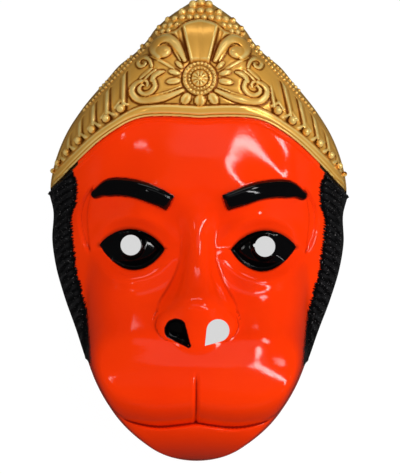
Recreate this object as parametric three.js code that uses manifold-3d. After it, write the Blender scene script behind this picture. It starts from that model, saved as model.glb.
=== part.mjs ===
// A moulded plastic face mask: a monkey face with a crown, hollow at the back, cut off along a flat rim.
// X runs across the face, Y towards the tip of the crown and Z out of the face. The rim lies at Z = 0.
import * as THREE from 'three';
import { mergeVertices } from 'three/addons/utils/BufferGeometryUtils.js';
import Module from 'manifold-3d';

const wasm = await Module();
wasm.setup();

// Driving dimensions, in millimetres.
const maskWidth = 163;
const maskLength = 253.6;
const maskDepth = 95;
const wall = 1.6;

// Holes and openings.
const pupilHole = 11.2;
const pupilSpacing = 73.2;
const pupilCollar = 14.4;
const collarHeight = 0.9;
const nostrilWidth = 12.4;
const nostrilRecess = 6.5;
const roundSides = 18;

// Face carving.
const browWidth = 9.4;
const browHeight = 3.4;
const lipRoll = 17;
const lipDrop = 13;
const philtrumWidth = 2.6;
const philtrumDepth = 3.2;

// Crown.
const bandWidth = 6.4;
const bandNarrowing = 0.22;
const bandHeight = 3.4;
const bandSteps = 24;
const plateStep = 4.4;
const pearlDiameter = 4.9;
const pearlCount = 7;
const ribWidth = 2.6;
const ribHeight = 2.4;
const borderWidth = 2.8;
const domeBead = 3.4;
const knobDiameter = 8;
const rosetteRadius = 8.15;
const rosetteBeads = 18;
const rosetteBead = 2;
const rosetteDome = 4.6;
const rosetteFlutes = 9;
const petalLength = 8;
const petalWidth = 3.4;
const petalHeight = 1.9;
const volutePipe = 4.6;
const voluteBall = 6;
const scrollPipe = 4.2;
const spiralPipe = 2.6;
const stemPipe = 2;
const reliefHeight = 2.4;
const fanPanels = 2;
const fanHeight = 4;

// Hair on the side walls.
const lockPitch = 6.6;
const lockWidth = 5.8;
const lockHeight = 1.8;
const lockReach = 24;
const lockSlant = 0.42;

// The outline: half the width at a height on the face, from the chin to the crown's tip.
const outlineTable = [
  [-126.8, 0], [-124.4, 15.4], [-116.5, 29], [-104.2, 42.4], [-84.4, 55], [-71.2, 60.3], [-54.7, 65.9],
  [-36, 72.7], [-20, 77.3], [-6, 79.4], [10, 79], [22, 81.5], [31, 80.5], [38.5, 78.6], [53, 72.8], [65.5, 65],
  [82.5, 51], [90.5, 44.2], [97, 36], [104.5, 29], [110.3, 25], [114.6, 20.6], [122.8, 9.6], [126.8, 0],
];
// The nose's ridge, which is the mask's highest line.
const ridgeTable = [
  [-80, 60], [-66, 84.5], [-58, 88], [-52, 91], [-47, 93.6], [-42, 95], [-38, 93.5], [-30, 86], [-20, 78.5],
  [-10, 74], [0, 71], [8, 69.8], [16, 69.2], [24, 66],
];

// The tables follow the mask's own width, length and depth.
const halfLength = outlineTable[outlineTable.length - 1][0];
const widest = Math.max(...outlineTable.map(([, half]) => half));
const highest = Math.max(...ridgeTable.map(([, rise]) => rise));
const across = maskWidth / (2 * widest);
const along = maskLength / (2 * halfLength);
const outward = maskDepth / highest;

const clamp = THREE.MathUtils.clamp;
const smooth = (from, to, value) => {
  const t = clamp((value - from) / (to - from), 0, 1);
  return t * t * (3 - 2 * t);
};

// A smooth curve through [position, value] pairs.
function curveThrough(pairs) {
  const last = pairs.length - 1;
  const rise = pairs.slice(1).map(([p, v], i) => (v - pairs[i][1]) / (p - pairs[i][0]));
  const slope = pairs.map(([p], i) => {
    if (i === 0) return rise[0];
    if (i === last) return rise[last - 1];
    const before = p - pairs[i - 1][0];
    const after = pairs[i + 1][0] - p;
    return (rise[i - 1] * after + rise[i] * before) / (before + after);
  });
  return (position) => {
    const at = clamp(position, pairs[0][0], pairs[last][0]);
    let i = 0;
    while (i < last - 1 && at > pairs[i + 1][0]) i += 1;
    const h = pairs[i + 1][0] - pairs[i][0];
    const t = (at - pairs[i][0]) / h;
    const s = t * t;
    const c = s * t;
    return (2 * c - 3 * s + 1) * pairs[i][1] + (c - 2 * s + t) * h * slope[i]
      + (3 * s - 2 * c) * pairs[i + 1][1] + (c - s) * h * slope[i + 1];
  };
}

// The larger or smaller of two heights, blended over the reach k.
function blendUp(a, b, k) {
  const h = clamp(0.5 + 0.5 * (a - b) / k, 0, 1);
  return b + (a - b) * h + k * h * (1 - h);
}

const hill = (x, y, cx, cy, sx, sy) => Math.exp(-0.5 * (((x - cx) / sx) ** 2 + ((y - cy) / sy) ** 2));
const arch = (share, n) => Math.sqrt(Math.max(1 - Math.min(Math.abs(share), 1) ** n, 0));

// Half the width is read from its square, so that both ends of the outline are round.
const outlineSquared = curveThrough(outlineTable.map(([y, half]) => [y, half ** 2]));
const halfWidth = (y) => Math.sqrt(Math.max(outlineSquared(y), 0));

// The head's side walls, and the flatter front of the face with the muzzle on it.
const headHeight = curveThrough([
  [-127, 44], [-90, 44], [-50, 50], [-20, 55], [0, 58], [25, 62], [50, 64], [75, 62], [100, 56], [127, 46],
]);
const frontHeight = curveThrough([
  [-127, 65], [-118, 73], [-106, 82], [-98, 86.5], [-90, 89], [-82, 89.5], [-75, 88.5], [-66, 85.5], [-58, 82.5],
  [-50, 78.5], [-38, 73.5], [-20, 69], [-8, 67], [4, 66.5], [14, 69], [25, 71], [39, 69.8], [53, 66], [65, 62],
  [90, 56], [127, 47],
]);
const frontWidth = curveThrough([
  [-127, 62], [-85, 62], [-75, 61], [-60, 61], [-45, 62.5], [-20, 66], [0, 68], [25, 70], [45, 71], [60, 69],
  [90, 60], [127, 36],
]);

// How far the front falls away beside its middle, and how square it and the side walls are.
const fallAt = 60;
const frontFall = curveThrough([
  [-127, 8], [-90, 8], [-75, 10], [-60, 12], [-25, 13], [0, 11], [20, 7], [60, 6], [127, 5],
]);
const frontSquare = curveThrough([
  [-127, 30], [-70, 30], [-50, 14], [-20, 8], [8, 4.5], [30, 3], [60, 2.8], [127, 3.5],
]);
const headSquare = curveThrough([[-127, 2.8], [5, 2.8], [30, 3.3], [50, 4.4], [127, 4.6]]);
const rimSquare = curveThrough([[-127, 30], [-80, 40], [-70, 30], [-60, 14], [-35, 8], [127, 8]]);
const chinHeight = curveThrough([[-127, 60], [-120, 67], [-112, 72], [-104, 75], [-94, 78], [-84, 81]]);

const endFall = (y) => arch(y / halfLength, 14);
const rimShare = (x, y) => x / Math.max(halfWidth(y), 1e-6);
const rimFall = (x, y) => arch(rimShare(x, y), rimSquare(y));

// Nose: a ridge with straight sides, and a wing on each side over the nostril.
const ridgeHeight = curveThrough(ridgeTable);
const ridgeWidth = curveThrough([
  [-70, 14], [-64, 18.5], [-57, 21], [-50, 21], [-42, 18.5], [-34, 15.5], [-22, 12.5], [-5, 12.5], [8, 18],
  [24, 30],
]);
const wing = { x: 13.5, y: -51.5, reachX: 8.2, reachY: 8.6, rise: 7.5 };

function withNose(x, y, z) {
  if (y < -82 || y > 24) return z;
  const side = Math.abs(x);
  const ridge = ridgeHeight(y) - 17 * (side / ridgeWidth(y)) ** 2.3;
  const inside = 1 - ((side - wing.x) / wing.reachX) ** 2 - ((y - wing.y) / wing.reachY) ** 2;
  const swell = wing.rise * Math.sign(inside) * Math.sqrt(Math.abs(inside));
  const lobe = inside > -0.6 ? frontHeight(wing.y) + swell : 0;
  return blendUp(blendUp(z, ridge, 4), lobe, 6);
}

// Nostril: a teardrop, round above and outside, pointed below and inside. The width is a real size.
const nostril = { x: 11.4, y: -54.2, tipX: 4.4, tipY: -62.6, drawnWidth: 12.4 };
const nostrilScale = nostrilWidth / nostril.drawnWidth;

function nostrilShape() {
  const r = nostrilWidth / 2;
  const reach = Math.hypot(nostril.tipX - nostril.x, nostril.tipY - nostril.y) * nostrilScale;
  const heading = Math.atan2(nostril.tipY - nostril.y, nostril.tipX - nostril.x);
  const spread = Math.acos(clamp(r / reach, 0, 0.95));
  const shape = new THREE.Shape();
  shape.absarc(0, 0, r, heading + spread, heading - spread, false);
  shape.lineTo(reach * Math.cos(heading), reach * Math.sin(heading));
  return shape;
}

function nostrilInside(x, y) {
  const r = nostril.drawnWidth / 2;
  const gap = Math.hypot(nostril.tipX - nostril.x, nostril.tipY - nostril.y);
  const ux = (nostril.tipX - nostril.x) / gap;
  const uy = (nostril.tipY - nostril.y) / gap;
  const t = clamp((x - nostril.x) * ux + (y - nostril.y) * uy, 0, gap);
  return r * (1 - 0.8 * t / gap) - Math.hypot(x - nostril.x - t * ux, y - nostril.y - t * uy);
}

// Eye opening: an almond between two corners, with the inside measured from its edge.
const eye = { inner: 18.2, outer: 53.4, innerY: -10.6, outerY: -8.5, above: 9.4, below: 12.2, x: 36, y: -10.5 };

function eyeInside(x, y) {
  const side = Math.abs(x);
  const share = (side - eye.inner) / (eye.outer - eye.inner);
  if (share < 0) return -Math.hypot(side - eye.inner, y - eye.innerY);
  if (share > 1) return -Math.hypot(side - eye.outer, y - eye.outerY);
  const line = eye.innerY + (eye.outerY - eye.innerY) * share;
  const bow = 4 * share * (1 - share);
  return 0.85 * Math.min(line + eye.above * bow ** 0.85 - y, y - line + eye.below * bow ** 0.9);
}

function withEyes(x, y, z) {
  const side = Math.abs(x);
  if (side > 75 || y > 30 || y < -45) return z;
  const turn = Math.hypot((side - eye.x) / 21.5, (y - eye.y) / 17.2) - 1;
  const above = smooth(-14, -2, y) * smooth(62, 50, side);
  const below = smooth(-8, -17, y);
  const roll = Math.exp(-0.5 * (turn * 18 / 3.2) ** 2);
  let level = z - 5 * hill(side, y, 34, -9, 17, 11) - 2.5 * hill(side, y, 17, -5, 7, 11);
  level += roll * (2.6 * above + 2.4 * below);
  const inside = eyeInside(x, y);
  const ball = 50 + 4.5 * (1 - ((side - eye.x) / 19) ** 2 - ((y - eye.y) / 13) ** 2);
  const open = smooth(-0.8, 1.4, inside);
  return level * (1 - open) + Math.min(level, ball) * open;
}

// Mouth line across the muzzle, with the chin set back below it.
const mouthLine = curveThrough([
  [0, -104.9], [9.4, -106.4], [20.9, -107.3], [32.5, -105.3], [40.2, -102.3], [49, -95.4], [60, -80],
]);

function withMouth(x, y, z) {
  const side = Math.abs(x);
  const lift = y - mouthLine(side);
  const groove = smooth(-75, -84, y) * smooth(-109, -103, y) * (0.5 + 0.5 * smooth(-80, -104, y));
  const split = groove * philtrumDepth * Math.exp(-0.5 * (x * 2 / philtrumWidth) ** 2);
  const under = 1 - clamp(lift / lipRoll, 0, 1);
  const lip = z - split - lipDrop / outward * under ** 3;
  const chin = chinHeight(y) * arch(x / frontWidth(y), 3) * endFall(y) * rimFall(x, y);
  const above = smooth(-1.4, 1.4, lift);
  return lip * above + chin * (1 - above);
}

// Lower edge of the crown's band, and the upper edge of its front plate.
const bandEdge = curveThrough([
  [0, 61.3], [11, 61.9], [22, 62], [30.5, 61.3], [38.5, 58.6], [44, 55.5], [54.7, 47.9], [66, 37.4], [77, 26.4],
  [81.4, 22.4], [84, 20],
]);
const plateEdge = curveThrough([
  [0, 115.2], [9.6, 112], [13, 109], [19, 107], [25, 104], [28.5, 100], [41, 86.5], [55, 71], [66, 58], [75, 42],
  [82, 26],
]);

function withPlate(x, y, z) {
  const side = Math.abs(x);
  const below = 1 - smooth(-0.3, 1, y - plateEdge(side));
  return z + plateStep / outward * below * smooth(34, 22, side) * smooth(60, 74, y);
}

// Outer surface of the mask, at drawn sizes.
function drawnHeight(x, y) {
  const rim = rimFall(x, y);
  const end = endFall(y);
  const head = headHeight(y) * arch(rimShare(x, y), headSquare(y)) * end;
  const fallen = frontHeight(y) - frontFall(y) * (x / fallAt) ** 2;
  const front = fallen * arch(x / frontWidth(y), frontSquare(y)) * end * rim;
  const side = Math.abs(x);
  let z = blendUp(head, front, 6 * Math.max(rim, 0.01)) * Math.min(rim * 4, 1);
  z += 2.4 * hill(side, y, 38, 18, 17, 8) + 2.6 * hill(side, y, 36, -57, 10, 9);
  z -= 2 * hill(side, y, 19, -27, 7, 12);
  z = withNose(x, y, z);
  z = withEyes(x, y, z);
  z = withPlate(x, y, withMouth(x, y, z));
  if (x < 0) z -= nostrilRecess / outward * smooth(0, 2.2, nostrilInside(-x, y));
  return Math.max(z, 0);
}

// The same surface at the mask's real sizes, with its direction outwards.
const height = (x, y) => outward * drawnHeight(x / across, y / along);

function outwardAt(x, y) {
  const step = 0.4;
  const rise = new THREE.Vector3(height(x - step, y) - height(x + step, y),
    height(x, y - step) - height(x, y + step), 2 * step);
  return rise.normalize();
}

function onSurface(x, y, lift = 0) {
  return new THREE.Vector3(x, y, height(x, y)).addScaledVector(outwardAt(x, y), lift);
}

// The inside of the wall: the highest point that keeps the wall's thickness to the outer surface.
function insideHeight(x, y) {
  let lowest = height(x, y) - wall;
  for (const share of [0.5, 0.85, 1]) {
    for (let i = 0; i < 12; i += 1) {
      const turn = i * Math.PI / 6;
      const reach = share * wall;
      const cover = height(x + reach * Math.cos(turn), y + reach * Math.sin(turn));
      lowest = Math.min(lowest, cover - Math.sqrt(wall * wall - reach * reach));
    }
  }
  return Math.max(lowest, 0);
}

// A point of the outline's inside for a point of a square, closer together towards the rim.
function planPoint(u, v) {
  const dx = u * Math.sqrt(1 - v * v / 2);
  const dy = v * Math.sqrt(1 - u * u / 2);
  const r = Math.min(Math.hypot(dx, dy), 1);
  const crowd = 1.22 - 0.22 * r ** 4;
  const y = clamp(dy * crowd, -1, 1);
  const row = Math.sqrt(Math.max(1 - y * y, 0));
  const share = row > 1e-6 ? clamp(dx * crowd / row, -1, 1) : 0;
  return [share * halfWidth(y * halfLength) * across, y * halfLength * along];
}

// A net of right triangles over the square, split only where a side would pass too far above or below the
// surface. The finest cells along its side are the power of two nearest to the steps asked for.
function adaptiveNet(steps, above, below, place) {
  const cells = 2 ** Math.round(Math.log2(steps));
  const size = cells + 1;
  const points = [];
  for (let j = 0; j < size; j += 1) {
    for (let i = 0; i < size; i += 1) points.push(place(2 * i / cells - 1, 2 * j / cells - 1));
  }
  const bend = new Float64Array(size * size);
  const facing = (m) => {
    const i = m % size;
    const j = (m - i) / size;
    const wide = points[m + (i < cells ? 1 : 0)].clone().sub(points[m - (i > 0 ? 1 : 0)]);
    const tall = points[m + (j < cells ? size : 0)].clone().sub(points[m - (j > 0 ? size : 0)]);
    return wide.cross(tall).normalize();
  };
  const split = ([a, b, c]) => {
    const m = (a + b) / 2;
    return [[c, a, m], [b, c, m]];
  };
  const canSplit = ([a, b]) => {
    const columns = Math.abs(a % size - b % size);
    const rows = Math.abs(Math.floor(a / size) - Math.floor(b / size));
    return columns % 2 === 0 && rows % 2 === 0;
  };
  const corner = size * size - 1;
  const levels = [[[cells, corner - cells, 0], [corner - cells, cells, corner]]];
  while (canSplit(levels[levels.length - 1][0])) levels.push(levels[levels.length - 1].flatMap(split));
  levels.pop();
  for (const level of levels.reverse()) {
    for (const [a, b, c] of level) {
      const m = (a + b) / 2;
      const middle = points[a].clone().add(points[b]).multiplyScalar(0.5);
      const children = [[c, a], [b, c]].map(([p, q]) => (canSplit([p, q]) ? bend[(p + q) / 2] : 0));
      const miss = middle.sub(points[m]).dot(facing(m));
      bend[m] = Math.max(bend[m], miss / above, -miss / below, ...children);
    }
  }
  const triangles = [];
  const visit = (triangle) => {
    const [a, b] = triangle;
    if (canSplit(triangle) && bend[(a + b) / 2] > 1) split(triangle).forEach(visit);
    else triangles.push(triangle);
  };
  levels[levels.length - 1].forEach(visit);
  return { points, triangles };
}

// A closed body between an adaptive net and a flat floor.
function bodyUnder({ points, triangles }, floor) {
  const edges = new Map();
  for (const [a, b, c] of triangles) {
    for (const [p, q] of [[a, b], [b, c], [c, a]]) {
      if (!edges.delete(`${q} ${p}`)) edges.set(`${p} ${q}`, [p, q]);
    }
  }
  const next = new Map(edges.values());
  const loop = [];
  let at = next.keys().next().value;
  while (loop.length < next.size) {
    loop.push(at);
    at = next.get(at);
  }
  const positions = [];
  const facet = (...corners) => corners.forEach((p) => positions.push(p.x, p.y, p.z));
  triangles.forEach(([a, b, c]) => facet(points[a], points[b], points[c]));
  const low = loop.map((p) => new THREE.Vector3(points[p].x, points[p].y, floor));
  if (floor < 0) {
    loop.forEach((p, i) => {
      const j = (i + 1) % loop.length;
      facet(points[p], low[i], low[j]);
      facet(points[p], low[j], points[loop[j]]);
    });
  }
  const contour = low.map((p) => new THREE.Vector2(p.x, p.y));
  THREE.ShapeUtils.triangulateShape(contour, []).forEach(([a, b, c]) => facet(low[a], low[c], low[b]));
  return solidFrom(positions);
}

function solidFrom(positions) {
  const geometry = new THREE.BufferGeometry();
  geometry.setAttribute('position', new THREE.Float32BufferAttribute(positions, 3));
  return solidOf(geometry);
}

function solidOf(source) {
  const geometry = source.clone();
  geometry.deleteAttribute('normal');
  geometry.deleteAttribute('uv');
  const merged = mergeVertices(geometry, 1e-4);
  const vertProperties = new Float32Array(merged.attributes.position.array);
  const triVerts = new Uint32Array(merged.index.array);
  return new wasm.Manifold(new wasm.Mesh({ numProp: 3, vertProperties, triVerts }));
}

// Sections of a moulding, from one sunk foot over its back to the other: share of the width across,
// and share of the height. The feet go down by the wall's thickness.
const roundBar = [[-0.5, -1], [-0.36, 0.72], [0, 1], [0.36, 0.72], [0.5, -1]];
const flatBar = [[-0.5, -1], [-0.3, 0.95], [0.3, 0.95], [0.5, -1]];
const ridgeBar = [[-0.5, -1], [0, 1], [0.5, -1]];
const steepest = 0.5;

// A moulding along a line on the surface, with its own width and height on the way. It stands along the
// surface's own direction, or, on the crown, straight to the front, with its width measured in the plan.
function moulding(line, widthAt, heightAt, steps, section = flatBar, toFront = false) {
  const curve = new THREE.CatmullRomCurve3(line.map(([x, y]) => new THREE.Vector3(x, y, 0)));
  const rings = [];
  for (let i = 0; i <= steps; i += 1) {
    const t = i / steps;
    const plan = curve.getPoint(t);
    const centre = onSurface(plan.x, plan.y);
    const ahead = curve.getPoint(Math.min(t + 0.01, 1));
    const behind = curve.getPoint(Math.max(t - 0.01, 0));
    const heading = onSurface(ahead.x, ahead.y).sub(onSurface(behind.x, behind.y)).normalize();
    const normal = outwardAt(plan.x, plan.y);
    const up = toFront ? new THREE.Vector3(0, 0, 1) : normal;
    const right = new THREE.Vector3().crossVectors(heading, normal).normalize();
    if (toFront) right.divideScalar(Math.max(Math.hypot(right.x, right.y), steepest));
    rings.push(section.map(([side, rise]) => centre.clone()
      .addScaledVector(right, side * widthAt(t))
      .addScaledVector(rise > 0 ? up : normal, rise * (rise > 0 ? heightAt(t) : wall))));
  }
  return loft(rings);
}

function loft(rings) {
  const positions = [];
  const facet = (...corners) => corners.forEach((p) => positions.push(p.x, p.y, p.z));
  const sides = rings[0].length;
  for (let i = 0; i + 1 < rings.length; i += 1) {
    for (let k = 0; k < sides; k += 1) {
      const n = (k + 1) % sides;
      facet(rings[i][k], rings[i][n], rings[i + 1][k]);
      facet(rings[i][n], rings[i + 1][n], rings[i + 1][k]);
    }
  }
  const first = rings[0];
  const final = rings[rings.length - 1];
  for (let k = 1; k + 1 < sides; k += 1) {
    facet(first[0], first[k + 1], first[k]);
    facet(final[0], final[k], final[k + 1]);
  }
  return solidFrom(positions);
}

// A round bead on the surface, sunk by half and footed in the wall, with few sides.
function bead(x, y, diameter, sides = 6) {
  const r = diameter / 2;
  const profile = [[0, -wall], [r, -wall], [r * 0.9, r * 0.45], [r * 0.45, r], [0, r]];
  const geometry = new THREE.LatheGeometry(profile.map(([out, up]) => new THREE.Vector2(out, up)), sides);
  return standing(geometry, x, y);
}

// A lobed round body on the surface: rings of [radius, rise, depth of the lobes as a share].
function lobed(x, y, rings, lobes) {
  const up = outwardAt(x, y);
  const lean = new THREE.Quaternion().setFromUnitVectors(new THREE.Vector3(0, 0, 1), up);
  return loft(rings.map(([radius, rise, depth]) => {
    const ring = [];
    for (let k = 0; k < 2 * lobes; k += 1) {
      const turn = Math.PI * k / lobes;
      const r = radius * (1 - depth * (k % 2));
      ring.push(new THREE.Vector3(r * Math.cos(turn), r * Math.sin(turn), rise)
        .applyQuaternion(lean).add(onSurface(x, y)));
    }
    return ring;
  }));
}

// A turned body stood on the surface, along the surface's own direction.
function standing(geometry, x, y) {
  const centre = onSurface(x, y);
  const lean = new THREE.Quaternion().setFromUnitVectors(new THREE.Vector3(0, 1, 0), outwardAt(x, y));
  return solidOf(geometry.applyQuaternion(lean).translate(centre.x, centre.y, centre.z));
}

// Places at equal steps along a line in the plan.
function spaced(line, count) {
  const curve = new THREE.CatmullRomCurve3(line.map(([x, y]) => onSurface(x, y)));
  curve.arcLengthDivisions = 400;
  return curve.getSpacedPoints(count - 1).map((p) => [p.x, p.y]);
}

const both = (make) => [-1, 1].flatMap(make);
const drawnPoint = (x, y) => [x * across, y * along];
const constant = (value) => () => value;

// Tapers from a full size to a share of it at one or both ends of a moulding.
const taper = (size, start, end) => (t) => size * Math.min(start + (1 - start) * t * 4, 1,
  end + (1 - end) * (1 - t) * 4);

function brows() {
  const lines = [
    [[-16.2, 12.4], [-23.7, 17.6], [-34.7, 22], [-44, 23], [-50.5, 21.4], [-55.4, 19]],
    [[15.5, 13], [23.1, 17.4], [33, 21.6], [42.4, 22.9], [50, 22.4], [55.8, 20.2]],
  ];
  return lines.map((line) => moulding(line.map(([x, y]) => drawnPoint(x, y)),
    taper(browWidth, 1, 0.5), constant(browHeight), 6, roundBar));
}

// The band along the crown's lower edge, narrower on the wings.
const crownMoulding = (line, width, rise, steps, section) => moulding(line.map(([x, y]) => drawnPoint(x, y)),
  width, rise, steps, section, true);

function band() {
  const reach = 77.4;
  const half = bandSteps / 2;
  const line = [];
  for (let i = -half; i <= half; i += 1) {
    const x = reach * Math.sign(i) * (Math.abs(i) / half) ** 0.9;
    const side = Math.abs(x);
    const slope = (bandEdge(side + 1) - bandEdge(side - 1)) / 2;
    const away = bandWidth / 2 / Math.hypot(slope, 1);
    line.push([x - Math.sign(x) * slope * away, bandEdge(side) + away]);
  }
  const width = (t) => bandWidth * (1 - bandNarrowing * smooth(0.36, 0.6, Math.abs(2 * t - 1)));
  return [crownMoulding(line, width, constant(bandHeight), bandSteps, flatBar)];
}

// Pearls above the band, each with a rib that runs up the wing to the crown's upper border.
const pearlLine = [[42.4, 65.7], [50.1, 60.2], [57.5, 54.2], [64.9, 48.1], [71.2, 41.8], [76.2, 36], [79, 31.6]];
const borderLine = [
  [30, 97.5], [35.2, 92.7], [39, 88.3], [46.2, 81.2], [54.5, 72.8], [62.2, 64.6], [67.5, 57.4], [71, 51.6],
];
const borderEdge = curveThrough(borderLine);

function wings() {
  return both((side) => {
    const row = spaced(pearlLine.map(([x, y]) => drawnPoint(side * x, y)), pearlCount);
    const pearls = row.map(([x, y], i) => bead(x, y, pearlDiameter * (1 - 0.35 * (i / (pearlCount - 1)) ** 3)));
    const ribs = row.flatMap(([x, y]) => {
      const drawnX = x / across;
      const from = (y + pearlDiameter * 0.8) / along;
      const to = borderEdge(Math.abs(drawnX));
      const clearOfRim = Math.abs(drawnX) < halfWidth(to) - ribWidth;
      if (!clearOfRim || to - from < pearlDiameter / 2) return [];
      const line = [[drawnX, from], [drawnX, (from + to) / 2], [drawnX, to]];
      return [crownMoulding(line, constant(ribWidth), constant(ribHeight), 2, ridgeBar)];
    });
    const border = borderLine.map(([x, y]) => [side * x, y]);
    return [...pearls, ...ribs,
      crownMoulding(border, constant(borderWidth), constant(borderWidth / 2), borderLine.length - 1, ridgeBar)];
  });
}

// The rosette: a fluted dome in a ring of beads, with petals around it.
const rosette = { x: 0, y: 82.8 };

function rosetteSolids() {
  const [cx, cy] = drawnPoint(rosette.x, rosette.y);
  const at = (radius, degrees) => {
    const turn = THREE.MathUtils.degToRad(degrees);
    return [cx + radius * Math.cos(turn), cy + radius * Math.sin(turn)];
  };
  const ring = rosetteRadius + rosetteBead / 2;
  const solids = [
    lobed(cx, cy, [[ring, -wall, 0], [ring, reliefHeight * 0.6, 0.08], [rosetteDome, reliefHeight, 0]],
      rosetteBeads),
    lobed(cx, cy, [[rosetteDome, -wall, 0], [rosetteDome, reliefHeight * 1.3, 0.2],
      [rosetteDome * 0.3, reliefHeight * 1.8, 0]], rosetteFlutes),
  ];
  const inner = ring + rosetteBead * 0.2;
  const petals = [[-6, 1], [13, 0.86], [34, 0.7]];
  for (const [turn, share] of petals.flatMap(([degrees, size]) => [[degrees, size], [180 - degrees, size]])) {
    const reach = petalLength * share;
    const line = [at(inner, turn), at(inner + reach / 2, turn), at(inner + reach, turn)];
    solids.push(moulding(line, taper(petalWidth, 0.6, 0.55), taper(petalHeight, 1, 0.5), 2));
  }
  for (const turn of [236, 271, 305]) {
    const reach = petalLength * 0.8;
    const line = [at(inner, turn), at(inner + reach / 2, turn), at(inner + reach, turn)];
    solids.push(moulding(line, taper(petalWidth * 1.5, 0.7, 0.6), taper(petalHeight, 1, 0.6), 2));
  }
  return solids;
}

// The fan above the rosette, opening upwards into panels.
function fan() {
  const section = [[-0.5, -1]];
  for (let i = 0; i <= 2 * fanPanels; i += 1) section.push([i / (2 * fanPanels) - 0.5, i % 2 ? 1 : 0.7]);
  section.push([0.5, -1]);
  const width = (t) => (10.4 + 9 * t) * across;
  return [crownMoulding([[0, 92], [0, 103], [0, 113.6]], width, constant(fanHeight), 2, section)];
}

// Volutes beside the fan, and the leaf scrolls between the rosette and the wings.
function scrolls() {
  const volute = [[8.4, 92.8], [11, 97.8], [14.2, 102.3], [18.2, 104.8], [22.4, 104], [25, 100.8], [25, 97.6],
    [22.6, 95.2]];
  const scroll = [[9.2, 76.2], [19.1, 72.3], [29, 70.5], [33.4, 71.2], [36.2, 73.7], [36.7, 76.7], [34.8, 79.5],
    [31.8, 81.2]];
  const hook = [[26.3, 89.4], [27.4, 92.4], [29.9, 94.3], [32.6, 93.4], [33.8, 91.3], [32.6, 89.3], [30.4, 89.8]];
  const stem = [[26.4, 87.9], [29.3, 85.4], [32.4, 82.6]];
  const leaf = [[26, 81.4], [24.9, 83.9], [22.4, 85.6], [19.7, 86.4]];
  const comma = [[24.9, 81.1], [24.3, 78.1], [26.3, 75.3], [29.6, 73.9], [32.3, 74.9], [33.1, 77], [31.7, 78.9]];
  const pipes = [[volute, volutePipe, 7], [scroll, scrollPipe, 7], [hook, spiralPipe, 5], [stem, stemPipe, 1],
    [leaf, spiralPipe, 2], [comma, spiralPipe, 5]];
  return both((side) => [
    ...pipes.map(([line, pipe, steps]) => crownMoulding(line.map(([x, y]) => [side * x, y]),
      taper(pipe, 0.5, 0.6), taper(reliefHeight * Math.min(pipe / scrollPipe, 1) ** 0.5, 0.6, 1), steps, flatBar)),
    bead(...drawnPoint(side * 20.6, 97.5), voluteBall),
  ]);
}

// Beads on the dome behind the plate, and the knob on its tip.
function domeBeads() {
  const solids = [bead(...drawnPoint(0, 120.4), knobDiameter)];
  const rows = [118.8, 114, 109.2, 104.4];
  rows.forEach((y, rank) => {
    for (let k = -6; k <= 6; k += 1) {
      const x = (k + (rank % 2 ? 0.5 : 0)) * domeBead * 1.5;
      const clearOfPlate = y > plateEdge(Math.abs(x)) + domeBead / 2;
      const clearOfRim = Math.abs(x) < halfWidth(y) - domeBead * 0.6;
      const clearOfKnob = Math.hypot(x, y - 120.4) > knobDiameter / 2;
      if (clearOfPlate && clearOfRim && clearOfKnob) solids.push(bead(...drawnPoint(x, y), domeBead, 5));
    }
  });
  return solids;
}

// The point of a side wall at a height above the rim.
function sidePoint(side, y, z) {
  let inner = halfWidth(y / along) * across / 2;
  let outer = inner * 2;
  for (let i = 0; i < 24; i += 1) {
    const middle = (inner + outer) / 2;
    if (height(middle, y) > z) inner = middle;
    else outer = middle;
  }
  return [side * inner, y];
}

// Locks of hair up the side walls, from the rim to the face, slanting towards the crown.
function hair() {
  const top = 14 * along;
  const bottom = -68 * along;
  const count = Math.floor((top - bottom) / lockPitch);
  const rises = [0.06, 0.35, 0.68, 1].map((share) => share * lockReach * outward);
  return both((side) => Array.from({ length: count }, (_, i) => {
    const foot = top - i * lockPitch;
    const line = rises.map((rise) => sidePoint(side, foot + lockSlant * rise, rise));
    return moulding(line, taper(lockWidth, 0.7, 0.4), taper(lockHeight, 0.7, 0.3), rises.length - 1, ridgeBar);
  }));
}

// Cuts: both pupils and one nostril go through, and nothing stays below the rim's plane.
function holes() {
  const tall = 2 * maskDepth;
  const pupil = new THREE.CylinderGeometry(pupilHole / 2, pupilHole / 2, tall, roundSides).rotateX(Math.PI / 2);
  const eyeY = -8.4 * along;
  const cuts = both((side) => [solidOf(pupil.clone().translate(side * pupilSpacing / 2, eyeY, 0))]);
  const prism = new THREE.ExtrudeGeometry(nostrilShape(), { depth: tall, bevelEnabled: false, curveSegments: 10 });
  const [x, y] = drawnPoint(nostril.x, nostril.y);
  cuts.push(solidOf(prism.translate(x, y, 0)));
  const below = new THREE.BoxGeometry(2 * maskWidth, 2 * maskLength, tall).translate(0, 0, -tall / 2);
  cuts.push(solidOf(below));
  return cuts;
}

// Collars around the pupils, standing on the eyeballs.
function collars() {
  const eyeY = -8.4 * along;
  const rooted = 4 * wall;
  return both((side) => {
    const x = side * pupilSpacing / 2;
    const ring = new THREE.CylinderGeometry(pupilCollar / 2, pupilCollar / 2, rooted + collarHeight, roundSides);
    ring.rotateX(Math.PI / 2);
    return [solidOf(ring.translate(x, eyeY, height(x, eyeY) + (collarHeight - rooted) / 2))];
  });
}

// The steps along a side of each net, and how far the net may pass above and below its surface.
const outerSteps = 256;
const outerMiss = [1.2, 1.05];
const innerSteps = 128;
const innerMiss = [1.1, 2.4];
const outerNet = adaptiveNet(outerSteps, ...outerMiss, (u, v) => {
  const [x, y] = planPoint(u, v);
  const rim = Math.max(Math.abs(u), Math.abs(v)) === 1;
  return new THREE.Vector3(x, y, rim ? 0 : height(x, y));
});
const innerNet = adaptiveNet(innerSteps, ...innerMiss, (u, v) => {
  const [x, y] = planPoint(u, v);
  const inX = x * (1 - 2 * wall / maskWidth);
  const inY = y * (1 - 2 * wall / maskLength);
  const rim = Math.max(Math.abs(u), Math.abs(v)) === 1;
  return new THREE.Vector3(inX, inY, rim ? 0 : insideHeight(inX, inY));
});

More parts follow.
